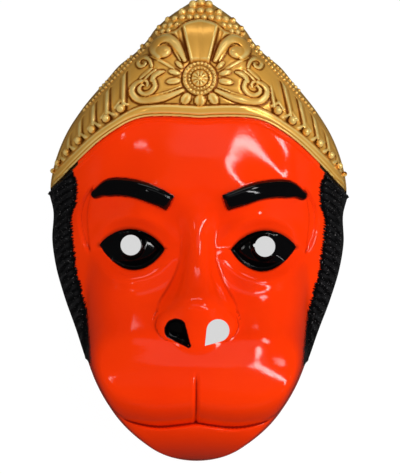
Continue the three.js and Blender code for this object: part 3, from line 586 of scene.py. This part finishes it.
def netPoints(columns, rows, inner):
    u = np.linspace(-1, 1, columns + 1)[None, :].repeat(rows + 1, 0)
    v = rowPlaces(rows)[:, None].repeat(columns + 1, 1)
    x, y = planPoint(u, v)
    rim = np.zeros(x.shape, bool)
    rim[[0, -1], :] = True
    rim[:, [0, -1]] = True
    if inner:
        wall = shell["wall"]
        x = x * (1 - wall / halfBreadth)
        y = y * (1 - wall / halfLength)
        z = insideHeight(x, y, wall)
        z[rim] = 0
        return np.stack([x, y, z], 2)
    z = formHeight(x, y)
    z[rim] = 0
    points = np.stack([x, y, z], 2)
    wide = np.gradient(points, axis=1)
    tall = np.gradient(points, axis=0)
    normal = np.cross(wide, tall)
    length = np.linalg.norm(normal, axis=2, keepdims=True)
    outward = np.stack([x, y, np.zeros(x.shape)], 2)
    outward = outward / np.maximum(np.linalg.norm(outward, axis=2, keepdims=True), 1e-6)
    normal = np.where(length > 1e-4, normal / np.maximum(length, 1e-9), outward)
    points = points + leaned(x, y, normal) * relief(x, y, z)[..., None]
    points[..., 2] = np.maximum(points[..., 2], 0)
    points[rim, 2] = 0
    return points


def ringAround(columns, rows):
    ring = [(0, i) for i in range(columns)] + [(j, columns) for j in range(rows)]
    return ring + [(rows, i) for i in range(columns, 0, -1)] + [(j, 0) for j in range(rows, 0, -1)]


def makeShell():
    columns, rows, ratio = shell["columns"], shell["rows"], shell["ratio"]
    bm = bmesh.new()
    bmesh.ops.create_grid(bm, x_segments=columns, y_segments=rows, size=1)
    outerCount = len(bm.verts)
    bmesh.ops.create_grid(bm, x_segments=columns // ratio, y_segments=rows // ratio, size=1)
    bm.verts.ensure_lookup_table()
    bm.faces.ensure_lookup_table()
    nets = []
    for start, stop, wide, tall, inner in (
            (0, outerCount, columns, rows, False),
            (outerCount, len(bm.verts), columns // ratio, rows // ratio, True)):
        points = netPoints(wide, tall, inner) * mm
        places = {}
        for vert in bm.verts[start:stop]:
            i = round((vert.co.x + 1) / 2 * wide)
            j = round((vert.co.y + 1) / 2 * tall)
            vert.co = points[j, i]
            places[(j, i)] = vert
        nets.append(places)
    for face in bm.faces:
        face.smooth = True
        if face.verts[0].index >= outerCount:
            face.material_index = 1
            face.normal_flip()
    outerRing = ringAround(columns, rows)
    innerRing = ringAround(columns // ratio, rows // ratio)
    count = len(innerRing)
    for k in range(count):
        outerPart = [nets[0][outerRing[(k * ratio + s) % len(outerRing)]] for s in range(ratio + 1)]
        innerPart = [nets[1][innerRing[(k + 1) % count]], nets[1][innerRing[k]]]
        face = bm.faces.new(outerPart[::-1] + innerPart[::-1])
        face.material_index = 1
    bm.normal_update()
    mesh = bpy.data.meshes.new("mask_body")
    bm.to_mesh(mesh)
    bm.free()
    piece = bpy.data.objects.new("mask_body", mesh)
    scene.collection.objects.link(piece)
    return piece


# A straight tool through the wall, to cut a hole with.
def cutter(name, outline, low=20, high=90):
    bm = bmesh.new()
    bottom = [bm.verts.new((x * mm, y * mm, low * mm)) for x, y in outline]
    face = bm.faces.new(bottom)
    lifted = bmesh.ops.extrude_face_region(bm, geom=[face])["geom"]
    bmesh.ops.translate(bm, verts=[g for g in lifted if isinstance(g, bmesh.types.BMVert)],
                        vec=(0, 0, (high - low) * mm))
    bmesh.ops.recalc_face_normals(bm, faces=bm.faces)
    for f in bm.faces:
        f.material_index = 1
    mesh = bpy.data.meshes.new(name)
    bm.to_mesh(mesh)
    bm.free()
    tool = bpy.data.objects.new(name, mesh)
    scene.collection.objects.link(tool)
    return tool


def roundOutline(cx, cy, radius, turns):
    return [(cx + radius * math.cos(t), cy + radius * math.sin(t)) for t in turns]


def fullTurn(count, start=0):
    return [2 * math.pi * (k + start) / count for k in range(count)]


def nostrilOutline():
    tipAcross = nostril["tipX"] - nostril["x"]
    tipUp = nostril["tipY"] - nostril["y"]
    heading = math.atan2(tipUp, tipAcross)
    spread = math.acos(nostril["radius"] / math.hypot(tipAcross, tipUp))
    turns = np.linspace(heading + spread, heading - spread + 2 * math.pi, 26)
    tip = (nostril["tipX"], nostril["tipY"])
    return roundOutline(nostril["x"], nostril["y"], nostril["radius"], turns) + [tip]


# The right pupil has a small nick in its inner edge.
nick = {"x": eye["pupilX"] - eye["hole"], "y": eye["pupilY"] + 0.6, "radius": 0.9}

maskBody = makeShell()
print("stage: shell", len(maskBody.data.polygons))
tools = [cutter("cut_pupil_left", roundOutline(-eye["pupilX"], eye["pupilY"], eye["hole"], fullTurn(40))),
         cutter("cut_pupil_right", roundOutline(eye["pupilX"], eye["pupilY"], eye["hole"], fullTurn(40))),
         cutter("cut_nick", roundOutline(nick["x"], nick["y"], nick["radius"], fullTurn(12))),
         cutter("cut_nostril", nostrilOutline(), high=110)]
for tool in tools:
    cut = maskBody.modifiers.new(tool.name, "BOOLEAN")
    cut.operation = "DIFFERENCE"
    cut.solver = "MANIFOLD"
    cut.object = tool


# Keeps one number for each point of a mesh, for its material.
def addValues(mesh, name, values):
    layer = mesh.attributes.new(name, "FLOAT", "POINT")
    layer.data.foreach_set("value", values.astype(np.float32))


# How deep each point lies in a hollow of a millimetre or two; ridges count below zero.
def hollows(mesh, passes=8):
    count = len(mesh.vertices)
    ends = np.empty(len(mesh.edges) * 2, np.int32)
    mesh.edges.foreach_get("vertices", ends)
    first, second = ends.reshape(-1, 2).T
    near = np.maximum(np.bincount(first, minlength=count) + np.bincount(second, minlength=count), 1)
    places = np.empty(count * 3, np.float32)
    facing = np.empty(count * 3, np.float32)
    mesh.vertices.foreach_get("co", places)
    mesh.vertices.foreach_get("normal", facing)
    places = places.reshape(-1, 3).astype(float) / mm
    even = places.copy()
    for _ in range(passes):
        for k in range(3):
            total = np.bincount(first, even[second, k], count) + np.bincount(second, even[first, k], count)
            even[:, k] = 0.5 * even[:, k] + 0.5 * total / near
    return ((even - places) * facing.reshape(-1, 3)).sum(1)


# The painted shadow under each end of the crown, a dark strip: where it starts, and its reach down and up.
strip = {"from": 66, "down": 1.6, "up": 0.4}
# Painted light on the gold: brighter where it stands out, as painted highlight, and darker in hollows, as
# painted shade; its value on flat ground, and the change for each millimetre.
goldShading = {"flat": 0.58, "contrast": 1.3}


# The painted regions, as signed distances in millimetres that the material turns into crisp edges.
def paintRegions(mesh):
    count = len(mesh.vertices)
    co = np.empty(count * 3, np.float32)
    mesh.vertices.foreach_get("co", co)
    x, y, z = (co.reshape(-1, 3).astype(float) / mm).T
    lift = bandLift(x, y)
    sunk = hollows(mesh)
    eyes = eyeInside(x, y)
    crownShadow = np.minimum(np.abs(x) - strip["from"], np.minimum(strip["down"] + lift, strip["up"] - lift))
    # The black paint of brows, eyes and the closed nostril, and the painted shadow strip under the crown's
    # ends.
    dark = np.maximum(crownShadow, np.maximum(browInside(x, y) + 0.25, eyes + 0.3))
    dark = np.maximum(dark, nostrilInside(-x, y) + 0.2)
    spray = eyes * (y > eye["y"]) - 20 * (y <= eye["y"])
    # Painted shade in the gold's hollows and painted highlight on its ridges.
    paintedLight = goldShading["flat"] - goldShading["contrast"] * sunk
    regions = {"dark_paint": dark, "gold_paint": lift + 0.1, "gold_shade_and_highlight": paintedLight,
               "hair_paint": np.minimum(hairInside(x, y), -lift), "strand_at": y - hair["slant"] * z,
               "strand_along": z, "crease_depth": sunk, "lid_spray": spray}
    for name, values in regions.items():
        addValues(mesh, name, values)


# Puts the cuts into the mesh, removes the tools, and makes the shading break where paint meets bare wall.
def bake(piece, spares):
    evaluated = piece.evaluated_get(bpy.context.evaluated_depsgraph_get())
    mesh = bpy.data.meshes.new_from_object(evaluated)
    old = piece.data
    piece.modifiers.clear()
    piece.data = mesh
    bpy.data.meshes.remove(old)
    for spare in spares:
        bpy.data.objects.remove(spare)
    bm = bmesh.new()
    bm.from_mesh(mesh)
    for edge in bm.edges:
        kinds = {face.material_index for face in edge.link_faces}
        edge.smooth = len(kinds) == 1
    for face in bm.faces:
        face.smooth = True
    bm.to_mesh(mesh)
    bm.free()
    mesh.name = piece.name


bake(maskBody, tools)
paintRegions(maskBody.data)
print("stage: cut and masks", len(maskBody.data.polygons))


# Small beads of the crown: the same few faces set many times on the surface.
def surfaceFrame(x, y):
    step = 0.6
    xs = np.array([x, x - step, x + step, x, x], float)
    ys = np.array([y, y, y, y - step, y + step], float)
    z = formHeight(xs, ys)
    normal = Vector(((z[1] - z[2]) / (2 * step), (z[3] - z[4]) / (2 * step), 1)).normalized()
    rise = relief(xs[:1], ys[:1], z[:1])[0]
    way = leaned(xs[:1], ys[:1], np.array([normal[:]]))[0]
    return Vector((x, y, z[0])) + Vector(way) * rise, normal


def alongLine(points, gap):
    line = softLine(points, 12)
    steps = np.hypot(*np.diff(line, axis=0).T)
    run = np.concatenate([[0], np.cumsum(steps)])
    count = max(int(run[-1] / gap), 1)
    at = np.linspace(0, run[-1], count + 1)
    return [(float(np.interp(t, run, line[:, 0])), float(np.interp(t, run, line[:, 1]))) for t in at]


beads = {"scale": 1.1, "sides": 10, "rings": 6, "pearlSink": 1.1,
         "rows": 4, "firstRow": 1.1, "rowGap": 2.1, "rowWay": (0.7, 0.72), "rowPoints": 6,
         "rowPitch": 2.35, "rowSink": -0.1, "rowIn": 0.9, "foot": 0.15, "top": 0.75,
         "rosetteSink": 0.35, "capSink": 0.6, "domeSink": 0.1, "domeBow": 0.004, "domeCount": 14,
         "cap": [(-4, 123.1, 2.5), (0.2, 123.5, 3.1), (4.4, 123.1, 2.5)],
         "domeRows": [(119.6, 4.9, 2.3), (116.2, 3.9, 1.9), (112.9, 3.2, 1.5), (110.1, 3.1, 1.45),
                      (107.3, 3, 1.4), (104.6, 3, 1.4), (102, 3, 1.3)]}


# Each bead is a place in the plan, a radius, and how far its centre stands off the surface.
# Rows of small beads run along the border of each wing.
def wingBeads(sign):
    pearls = zip(crown["pearls"], crown["pearlSizes"])
    places = [(sign * x, y, size, beads["pearlSink"]) for (x, y), size in pearls]
    for rank in range(beads["rows"]):
        away = beads["firstRow"] + beads["rowGap"] * rank
        wayX, wayY = beads["rowWay"]
        shifted = [(x + away * wayX, y + away * wayY) for x, y in crown["border"][:beads["rowPoints"]]]
        for x, y in alongLine(shifted, beads["rowPitch"])[rank % 2:]:
            if abs(x) < halfWidth(y) - beads["rowIn"]:
                places.append((sign * x, y, beads["scale"], beads["rowSink"]))
    return places


def rosetteBeads(count, radius, size):
    outline = roundOutline(0, rosette["y"], radius, fullTurn(count, 0.5))
    return [(x, y, size, beads["rosetteSink"]) for x, y in outline]


# Rows across the dome behind the front plate, bowed down at their ends.
def domeBeads():
    places = []
    for rank, (y, pitch, size) in enumerate(beads["domeRows"]):
        for k in range(-beads["domeCount"], beads["domeCount"] + 1):
            x = (k + 0.5 * (rank % 2)) * pitch
            lowered = y - beads["domeBow"] * x * x
            if lowered > plateEdge(abs(x)) + 0.6 * size and abs(x) < halfWidth(lowered) - 0.5 * size:
                places.append((x, lowered, size, beads["domeSink"]))
    return places


def beadPlaces():
    cap = [(x, y, size, beads["capSink"]) for x, y, size in beads["cap"]]
    return (wingBeads(-1) + wingBeads(1)
            + rosetteBeads(rosette["ringCount"], rosette["ring"], rosette["ringBead"])
            + rosetteBeads(rosette["innerCount"], rosette["inner"], rosette["innerBead"]) + cap + domeBeads())


def makeBeads(places):
    bm = bmesh.new()
    ways = []
    for x, y, radius, sink in places:
        centre, normal = surfaceFrame(x, y)
        ways.append(normal)
        lean = Vector((0, 0, 1)).rotation_difference(normal).to_matrix().to_4x4()
        place = Matrix.Translation((centre + normal * sink) * mm) @ lean
        bmesh.ops.create_uvsphere(bm, u_segments=beads["sides"], v_segments=beads["rings"],
                                  radius=radius * mm, matrix=place)
    for face in bm.faces:
        face.smooth = True
    mesh = bpy.data.meshes.new("crown_beads")
    bm.to_mesh(mesh)
    bm.free()
    piece = bpy.data.objects.new("crown_beads", mesh)
    scene.collection.objects.link(piece)
    co = np.empty(len(mesh.vertices) * 3, np.float32)
    mesh.vertices.foreach_get("co", co)
    each = co.reshape(len(places), -1, 3)
    each = each - each.mean(axis=1, keepdims=True)
    tops = np.array([normal[:] for normal in ways])[:, None, :]
    radii = np.array([place[2] * mm for place in places])[:, None]
    # Each bead is painted lighter towards its top and darker at its foot: painted highlight and painted
    # shade.
    paintedLight = beads["foot"] + beads["top"] * smoothStep(-0.2, 0.8, (each * tops).sum(2) / radii)
    paintedLight = np.clip(paintedLight, 0, 1).ravel()
    addValues(mesh, "gold_paint", np.full(paintedLight.shape, 5))  # well inside the gold
    addValues(mesh, "gold_shade_and_highlight", paintedLight)
    return piece


crownBeads = makeBeads(beadPlaces())
print("stage: beads", len(crownBeads.data.polygons))


# Nodes of the materials. A value is a number, a colour or another node's output.
def newNode(tree, kind, **values):
    node = tree.nodes.new(kind)
    for name, value in values.items():
        setattr(node, name, value)
    return node


def plug(tree, socket, value):
    if isinstance(value, bpy.types.NodeSocket):
        tree.links.new(value, socket)
    else:
        socket.default_value = value


# Sets a node's sockets by name, with _ for each space.
def feed(tree, node, **values):
    for name, value in values.items():
        plug(tree, node.inputs[name.replace("_", " ")], value)


def mathNode(tree, operation, *values, clamped=False):
    node = newNode(tree, "ShaderNodeMath", operation=operation, use_clamp=clamped)
    for socket, value in zip(node.inputs, values):
        plug(tree, socket, value)
    return node.outputs[0]


def noiseNode(tree, place, scale, detail):
    node = newNode(tree, "ShaderNodeTexNoise")
    feed(tree, node, Vector=place, Scale=scale, Detail=detail)
    return node.outputs["Fac"]


def mixNode(tree, factor, first, second):
    node = newNode(tree, "ShaderNodeMix", data_type="RGBA")
    feed(tree, node, Factor=factor, A=first, B=second)
    return node.outputs["Result"]


def rangeNode(tree, value, low, high, toLow=0, toHigh=1, kind="LINEAR"):
    node = newNode(tree, "ShaderNodeMapRange", interpolation_type=kind)
    feed(tree, node, Value=value, From_Min=low, From_Max=high, To_Min=toLow, To_Max=toHigh)
    return node.outputs["Result"]


def bumpNode(tree, height, strength, distance):
    node = newNode(tree, "ShaderNodeBump")
    feed(tree, node, Height=height, Strength=strength, Distance=distance)
    return node


# Colours are in linear light. Gloss is the roughness of the paints. The crease colour is painted shade, the
# hair's ridge and glint colours are painted highlights, and the deep and high golds are painted shade and
# painted highlight.
paintLook = {
    "orange": (0.86, 0.026, 0.0005, 1), "brightOrange": (0.96, 0.044, 0.001, 1),
    "crease": (0.36, 0.007, 0.0008, 1), "black": (0.0012, 0.0012, 0.0015, 1),
    "hairRidgeSheen": (0.014, 0.014, 0.015, 1), "glintHighlight": (0.16, 0.15, 0.15, 1),
    "shadedGold": (0.24, 0.065, 0.004, 1), "gold": (0.90, 0.46, 0.08, 1), "highlitGold": (1.0, 0.72, 0.24, 1),
    "gloss": 0.04, "goldGloss": 0.2, "glossVaries": 0.08, "goldMetal": 0.4, "mirroring": 0.36,
    "sprayed": 0.75}


# The paint of the mask: orange, the black that is brushed and sprayed on, and gold on the crown, with painted
# shade in creases and hollows and painted highlights on ridges.
def paintLayers():
    group = bpy.data.node_groups.new("paint_layers", "ShaderNodeTree")
    for name, kind in (("Gold", "Float"), ("Color", "Color"), ("Rough", "Float"), ("Normal", "Vector")):
        group.interface.new_socket(name=name, in_out="OUTPUT", socket_type="NodeSocket" + kind)
    out = newNode(group, "NodeGroupOutput")
    place = newNode(group, "ShaderNodeTexCoord").outputs["Object"]

    def region(name):
        return newNode(group, "ShaderNodeAttribute", attribute_name=name).outputs["Fac"]

    def edge(value, low, high):
        return rangeNode(group, value, low, high, kind="SMOOTHSTEP")

    waver = mathNode(group, "MULTIPLY_ADD", noiseNode(group, place, 420, 3), 0.7, -0.35)  # the brush's edges
    fine = noiseNode(group, place, 900, 2)
    mottle = noiseNode(group, place, 26, 4)
    strandPlace = newNode(group, "ShaderNodeCombineXYZ")
    along = mathNode(group, "MULTIPLY", region("strand_along"), 0.09)
    feed(group, strandPlace, X=region("strand_at"), Y=along)
    strand = noiseNode(group, strandPlace.outputs["Vector"], 1.3, 3)
    ragged = mathNode(group, "MULTIPLY_ADD", strand, 5, -2.3)  # the hair's edge, in millimetres

    gold = edge(region("gold_paint"), -0.2, 0.25)
    brushed = edge(mathNode(group, "ADD", region("dark_paint"), waver), -0.25, 0.35)
    hairy = edge(mathNode(group, "ADD", region("hair_paint"), ragged), -0.4, 0.4)
    both = mathNode(group, "MAXIMUM", brushed, hairy)
    spray = edge(region("lid_spray"), -2.6, 0.6)
    dark = mathNode(group, "MULTIPLY_ADD", spray, paintLook["sprayed"], both, clamped=True)

    depth = region("crease_depth")
    orange = mixNode(group, mottle, paintLook["orange"], paintLook["brightOrange"])
    # Painted shade: the orange turns dark red in creases and hollows.
    orange = mixNode(group, edge(depth, 0.12, 0.7), orange, paintLook["crease"])
    # Painted highlights on the hair: its ridges a little lighter, and tiny glints scattered over it.
    ridges = mathNode(group, "MULTIPLY", edge(depth, 0.05, -0.35), hairy)
    paintedGlints = mathNode(group, "MULTIPLY", rangeNode(group, fine, 0.66, 0.72), hairy)
    black = mixNode(group, ridges, paintLook["black"], paintLook["hairRidgeSheen"])
    black = mixNode(group, paintedGlints, black, paintLook["glintHighlight"])
    # Painted light on the gold: dark in hollows and at the beads' feet, bright on ridges and bead tops.
    height = region("gold_shade_and_highlight")
    metal = mixNode(group, edge(height, 0.05, 0.6), paintLook["shadedGold"], paintLook["gold"])
    metal = mixNode(group, edge(height, 0.6, 1), metal, paintLook["highlitGold"])
    color = mixNode(group, gold, mixNode(group, dark, orange, black), metal)

    shine = rangeNode(group, gold, 0, 1, paintLook["gloss"], paintLook["goldGloss"])
    rough = mathNode(group, "MULTIPLY_ADD", fine, paintLook["glossVaries"], shine)
    grain = bumpNode(group, fine, 0.25, 0.00012)
    strands = bumpNode(group, mathNode(group, "MULTIPLY", strand, hairy), 0.9, 0.0025)
    feed(group, strands, Normal=grain.outputs["Normal"])
    feed(group, out, Gold=gold, Color=color, Rough=rough, Normal=strands.outputs["Normal"])
    return group


def newMaterial(name):
    material = bpy.data.materials.new(name)
    material.use_nodes = True
    return material, material.node_tree, material.node_tree.nodes["Principled BSDF"]


def paintedPlastic():
    material, tree, body = newMaterial("painted_plastic")
    layers = newNode(tree, "ShaderNodeGroup", node_tree=paintLayers()).outputs
    metal = mathNode(tree, "MULTIPLY", layers["Gold"], paintLook["goldMetal"])
    feed(tree, body, Base_Color=layers["Color"], Roughness=layers["Rough"], Normal=layers["Normal"],
         Metallic=metal, Specular_IOR_Level=paintLook["mirroring"])
    return material


rawLook = {"pale": (0.80, 0.66, 0.62, 1), "paler": (0.86, 0.76, 0.73, 1), "rough": 0.42}


# The bare back of the plastic.
def rawPlastic():
    material, tree, body = newMaterial("raw_plastic")
    noise = noiseNode(tree, newNode(tree, "ShaderNodeTexCoord").outputs["Object"], 60, 4)
    bump = bumpNode(tree, noise, 0.3, 0.0003)
    feed(tree, body, Base_Color=mixNode(tree, noise, rawLook["pale"], rawLook["paler"]),
         Roughness=rawLook["rough"], Normal=bump.outputs["Normal"])
    return material


paint = paintedPlastic()
raw = rawPlastic()
maskBody.data.materials.clear()
for material in (paint, raw):
    maskBody.data.materials.append(material)
crownBeads.data.materials.append(paint)
for piece in (maskBody, crownBeads):
    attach(piece, "root")
    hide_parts("mask_shell")
print("stage: materials")


# Floor, light and camera. Under the mask the floor's glow is turned down, a painted shadow seen through the
# holes.
floorLook = {"size": 6, "sunk": 0.0004, "color": (0.03, 0.03, 0.03, 1), "near": 0.062, "far": 0.074,
             "under": 0.68, "around": 0.985}


def makeFloor():
    bm = bmesh.new()
    bmesh.ops.create_grid(bm, x_segments=2, y_segments=2, size=floorLook["size"])
    mesh = bpy.data.meshes.new("studio_floor")
    bm.to_mesh(mesh)
    bm.free()
    floor = bpy.data.objects.new("studio_floor", mesh)
    scene.collection.objects.link(floor)
    floor.location = (0, 0, -floorLook["sunk"])
    material, tree, body = newMaterial("studio_floor")
    place = newNode(tree, "ShaderNodeTexCoord").outputs["Object"]
    reach = newNode(tree, "ShaderNodeVectorMath", operation="LENGTH")
    tree.links.new(place, reach.inputs[0])
    # Painted shadow: the glow is lower under the mask.
    light = rangeNode(tree, reach.outputs["Value"], floorLook["near"], floorLook["far"], floorLook["under"],
                      floorLook["around"])
    glow = mathNode(tree, "MULTIPLY", newNode(tree, "ShaderNodeLightPath").outputs["Is Camera Ray"], light)
    feed(tree, body, Base_Color=floorLook["color"], Roughness=0.9, Specular_IOR_Level=0.1,
         Emission_Color=(1, 1, 1, 1), Emission_Strength=glow)
    mesh.materials.append(material)
    return floor


floor = makeFloor()

world = bpy.data.worlds.new("studio")
scene.world = world
world.use_nodes = True
feed(world.node_tree, world.node_tree.nodes["Background"], Color=(1, 1, 1, 1), Strength=0.05)
scene.view_settings.view_transform = "Standard"


# A lamp that faces the mask. The paint mirrors it or not, and turn spins it about its own axis.
def softBox(name, place, size, power, mirrored=True, turn=0):
    lamp = bpy.data.lights.new(name, "AREA")
    lamp.shape = "RECTANGLE"
    lamp.size, lamp.size_y = size
    lamp.energy = power
    box = bpy.data.objects.new(name, lamp)
    box.location = place
    aim = (-Vector(place)).to_track_quat("-Z", "Y")
    box.rotation_euler = (aim @ Quaternion((0, 0, 1), math.radians(turn))).to_euler()
    box.visible_glossy = mirrored
    scene.collection.objects.link(box)


softBox("key_strip", (0.70, 0.17, 1.05), (0.95, 0.1), 5.5, turn=32)
softBox("crown_box", (0.05, 0.62, 1.05), (1.1, 0.3), 0.45)
softBox("muzzle_box", (0.78, 0.88, 1.05), (0.3, 0.26), 2.6)
softBox("top_box", (-0.1, 1.6, 0.6), (1.2, 0.25), 2.5)
softBox("left_strip", (-0.66, 0.18, 1.1), (0.2, 0.06), 0.35)
softBox("chin_fill", (0.1, -1.5, 0.5), (1.6, 0.6), 5.5, mirrored=False)
softBox("left_fill", (-1.3, -0.3, 0.45), (1.2, 0.5), 10, mirrored=False)
softBox("right_fill", (1.3, -0.3, 0.45), (1.2, 0.5), 10, mirrored=False)
softBox("top_fill", (0.1, 0.3, 1.6), (1.6, 1.4), 10, mirrored=False)

# The photograph is 474 pixels high, 0.55 mm each, with its middle a little off the mask's.
view = {"lens": 800, "sensor": 36, "rows": 474, "pixel": 0.55 * mm, "right": 2, "down": 6.5, "roll": 0.62,
        "level": 0.005}
camera = bpy.data.cameras.new("camera")
camera.lens = view["lens"]
camera.sensor_width = view["sensor"]
camera.clip_start, camera.clip_end = 0.1, 50
cameraPlace = bpy.data.objects.new("camera", camera)
scene.collection.objects.link(cameraPlace)
reach = view["rows"] * view["pixel"] / 2 / (view["sensor"] / 2 / view["lens"])
cameraPlace.location = (view["right"] * view["pixel"], -view["down"] * view["pixel"], reach + view["level"])
cameraPlace.rotation_euler = (0, 0, math.radians(view["roll"]))
scene.camera = cameraPlace
print("stage: studio")
